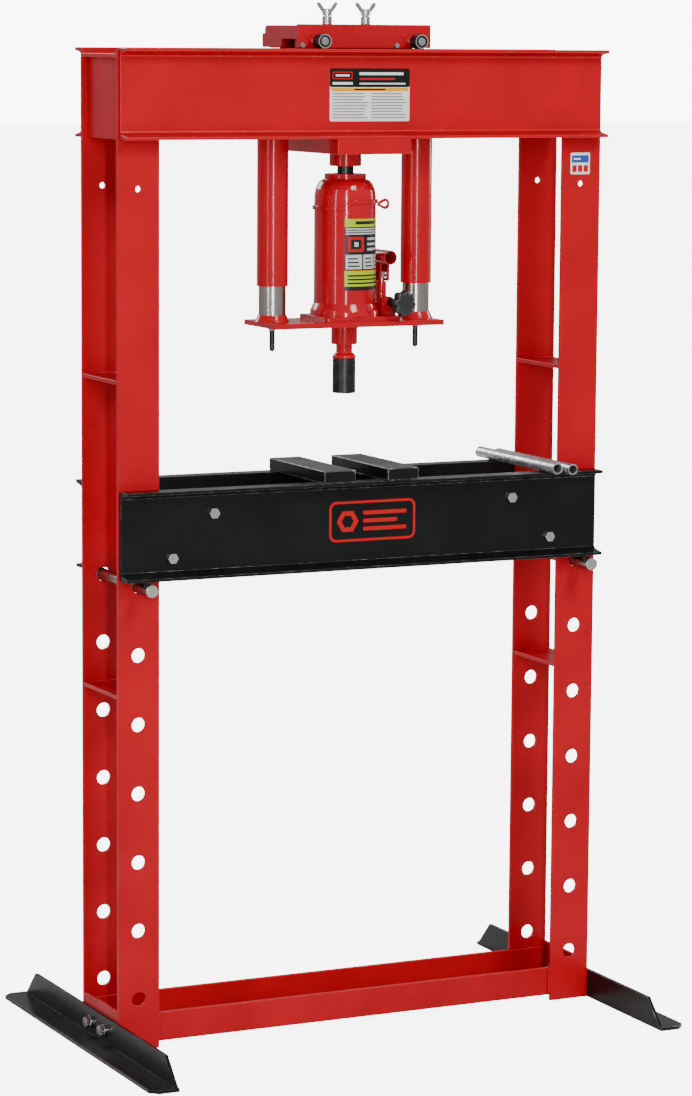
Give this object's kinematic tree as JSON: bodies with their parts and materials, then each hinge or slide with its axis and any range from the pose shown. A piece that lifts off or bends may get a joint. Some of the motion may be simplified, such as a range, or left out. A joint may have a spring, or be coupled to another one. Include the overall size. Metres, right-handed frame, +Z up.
{
  "type": "hydraulic shop press",
  "caption": "Floor-standing H-frame press with a bottle jack, sprung press head, sliding carriage, pinned bed and loose press blocks.",
  "frame": {"origin": "on the floor, at the centre of the press in width and depth", "axes": "+Z up, +X to the operator's right, +Y to the back; the press faces -Y"},
  "size_m": [1.0256, 0.7, 1.7955],
  "materials": {
    "frame_paint": "gloss",
    "press_paint": "gloss",
    "jack_paint": "gloss",
    "black_paint": "semi-gloss",
    "zinc": "zinc plated",
    "polished_steel": "polished",
    "galvanised": "galvanised",
    "dark_steel": "blackened",
    "knob_plastic": "matte"
  },
  "bodies": {
    "frame": {"upright_front_left": "frame_paint", "upright_front_right": "frame_paint", "upright_rear_left": "frame_paint", "upright_rear_right": "frame_paint", "battens": "frame_paint", "end_plates": "frame_paint", "bottom_rail": "frame_paint", "top_channel_front": "frame_paint", "top_channel_rear": "frame_paint", "foot_left": "black_paint", "foot_right": "black_paint", "foot_bolts": "zinc", "foot_nuts": "zinc"},
    "bed": {"bed_channel_front": "black_paint", "bed_channel_rear": "black_paint", "bed_spacers": "zinc", "bed_bolts": "zinc", "bed_nuts": "zinc"},
    "bed_pin_left": {"bed_pin_left": "zinc"},
    "bed_pin_right": {"bed_pin_right": "zinc"},
    "press_block_left": {"press_block_left": "black_paint"},
    "press_block_right": {"press_block_right": "black_paint"},
    "handle_tube_long": {"handle_tube_long": "galvanised"},
    "handle_tube_short": {"handle_tube_short": "galvanised"},
    "carriage": {"carriage_cover": "press_paint", "carriage_ends": "press_paint", "hanger_plates": "press_paint", "head_block": "press_paint", "guide_tubes": "press_paint", "spring_pins": "zinc", "roller_axles": "zinc", "set_screws": "zinc", "wing_sleeves": "zinc", "jack_ram": "polished_steel", "jack_screw": "dark_steel", "return_spring_left": "dark_steel", "return_spring_right": "dark_steel"},
    "roller_front_left": {"roller_front_left": "zinc"},
    "roller_front_right": {"roller_front_right": "zinc"},
    "roller_rear_left": {"roller_rear_left": "zinc"},
    "roller_rear_right": {"roller_rear_right": "zinc"},
    "wing_screw_left": {"wing_screw_left": "zinc"},
    "wing_screw_right": {"wing_screw_right": "zinc"},
    "press_head": {"press_plate": "press_paint", "slide_tubes": "polished_steel", "weld_collars": "press_paint", "spring_rods": "dark_steel", "rod_nuts": "zinc", "press_ram": "press_paint", "press_nose": "dark_steel", "jack_base": "jack_paint", "jack_reservoir": "jack_paint", "jack_cylinder": "dark_steel", "jack_cap": "jack_paint", "jack_band": "jack_paint", "pump_block": "jack_paint"},
    "pump_arm": {"pump_arm": "jack_paint"},
    "pump_plunger": {"pump_plunger": "zinc"},
    "release_valve": {"release_spindle": "zinc", "release_knob": "knob_plastic"}
  },
  "joints": [
    {"name": "carriage_slide", "type": "slide", "parent": "frame", "child": "carriage", "axis": [1, 0, 0], "range_m": [-0.2, 0.2]},
    {"name": "press_slide", "type": "slide", "parent": "carriage", "child": "press_head", "axis": [0, 0, -1], "range_m": [0, 0.12], "stiffness_N_per_m": 1600, "springref_m": -0.25, "deforming": ["return_spring_left", "return_spring_right"]},
    {"name": "bed_lift", "type": "slide", "parent": "frame", "child": "bed", "axis": [0, 0, -1], "range_m": [-0.12, 0]},
    {"name": "bed_pin_left_pull", "type": "slide", "parent": "frame", "child": "bed_pin_left", "axis": [0, -1, 0], "range_m": [0, 0.2]},
    {"name": "bed_pin_right_pull", "type": "slide", "parent": "frame", "child": "bed_pin_right", "axis": [0, -1, 0], "range_m": [0, 0.2]},
    {"name": "press_block_left_slide", "type": "slide", "parent": "bed", "child": "press_block_left", "axis": [1, 0, 0], "range_m": [-0.25, 0.03]},
    {"name": "press_block_right_slide", "type": "slide", "parent": "bed", "child": "press_block_right", "axis": [1, 0, 0], "range_m": [-0.03, 0.24]},
    {"name": "handle_tube_long_lift", "type": "slide", "parent": "bed", "child": "handle_tube_long", "axis": [0, 0, 1], "range_m": [0, 0.07]},
    {"name": "handle_tube_short_lift", "type": "slide", "parent": "bed", "child": "handle_tube_short", "axis": [0, 0, 1], "range_m": [0, 0.07]},
    {"name": "pump_arm_pivot", "type": "hinge", "parent": "press_head", "child": "pump_arm", "pos_m": [0.0685, 0.022, 1.322], "axis": [-1, 0, 0], "range_deg": [0, 20]},
    {"name": "pump_plunger_slide", "type": "slide", "parent": "press_head", "child": "pump_plunger", "axis": [0, 0, 1], "range_m": [0, 0.0105]},
    {"name": "release_valve_turn", "type": "hinge", "parent": "press_head", "child": "release_valve", "pos_m": [0.0705, -0.034, 1.277], "axis": [0.1564, -0.9877, 0], "range_deg": [0, 300]},
    {"name": "wing_screw_left_turn", "type": "hinge", "parent": "carriage", "child": "wing_screw_left", "pos_m": [-0.037, 0, 1.76], "axis": [0, 0, 1], "continuous": true},
    {"name": "wing_screw_right_turn", "type": "hinge", "parent": "carriage", "child": "wing_screw_right", "pos_m": [0.037, 0, 1.76], "axis": [0, 0, 1], "continuous": true},
    {"name": "roller_front_left_turn", "type": "hinge", "parent": "carriage", "child": "roller_front_left", "pos_m": [-0.092, -0.098, 1.7288], "axis": [0, 1, 0], "range_deg": [-920, 920]},
    {"name": "roller_front_right_turn", "type": "hinge", "parent": "carriage", "child": "roller_front_right", "pos_m": [0.092, -0.098, 1.7288], "axis": [0, 1, 0], "range_deg": [-920, 920]},
    {"name": "roller_rear_left_turn", "type": "hinge", "parent": "carriage", "child": "roller_rear_left", "pos_m": [-0.092, 0.098, 1.7288], "axis": [0, 1, 0], "range_deg": [-920, 920]},
    {"name": "roller_rear_right_turn", "type": "hinge", "parent": "carriage", "child": "roller_rear_right", "pos_m": [0.092, 0.098, 1.7288], "axis": [0, 1, 0], "range_deg": [-920, 920]}
  ],
  "couplings": [
    {"joint": "pump_plunger_slide", "follows": "pump_arm_pivot", "m_per_rad": 0.0287},
    {"joint": "roller_front_left_turn", "follows": "carriage_slide", "rad_per_m": 80},
    {"joint": "roller_front_right_turn", "follows": "carriage_slide", "rad_per_m": 80},
    {"joint": "roller_rear_left_turn", "follows": "carriage_slide", "rad_per_m": 80},
    {"joint": "roller_rear_right_turn", "follows": "carriage_slide", "rad_per_m": 80}
  ]
}
